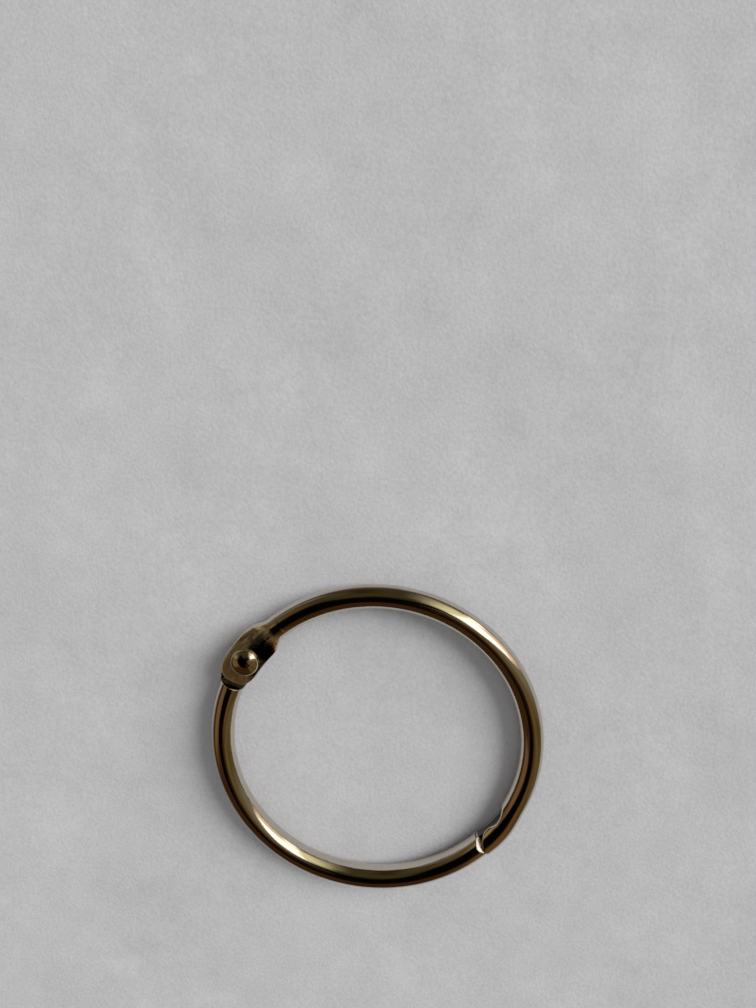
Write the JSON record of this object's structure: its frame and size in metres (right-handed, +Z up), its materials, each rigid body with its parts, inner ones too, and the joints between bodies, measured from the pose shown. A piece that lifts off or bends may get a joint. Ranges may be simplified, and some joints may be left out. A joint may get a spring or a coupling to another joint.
{
  "type": "hinged binder ring",
  "caption": "Hinged loose-leaf ring of plated round steel wire, riveted at one side and closed by a sprung tongue in a channel, for holding punched sheets",
  "frame": {"origin": "centre of the closed ring, in the middle of the wire's thickness", "axes": "+Z up, along the ring's axis, with the rivet's domed head on the upper side. The ring lies in the XY plane. Seen from above, the rivet is at the upper left and the catch at the lower right."},
  "size_m": [0.0512, 0.0512, 0.0054],
  "materials": {
    "plated_wire": "bright nickel-plated drawn steel wire, smooth and mirror-like, with coined and sheared faces at its pressed ends",
    "plated_rivet": "bright nickel-plated semi-tubular steel rivet with a smooth domed head"
  },
  "bodies": {
    "tongue_side": {"tongue_half": "plated_wire", "hinge_rivet": "plated_rivet"},
    "channel_side": {"channel_half": "plated_wire"}
  },
  "joints": [
    {"name": "ring_hinge", "type": "hinge", "parent": "tongue_side", "child": "channel_side", "pos_m": [-0.0195, 0.01365, 0], "axis": [0, 0, 1], "range_deg": [0, 145]}
  ]
}
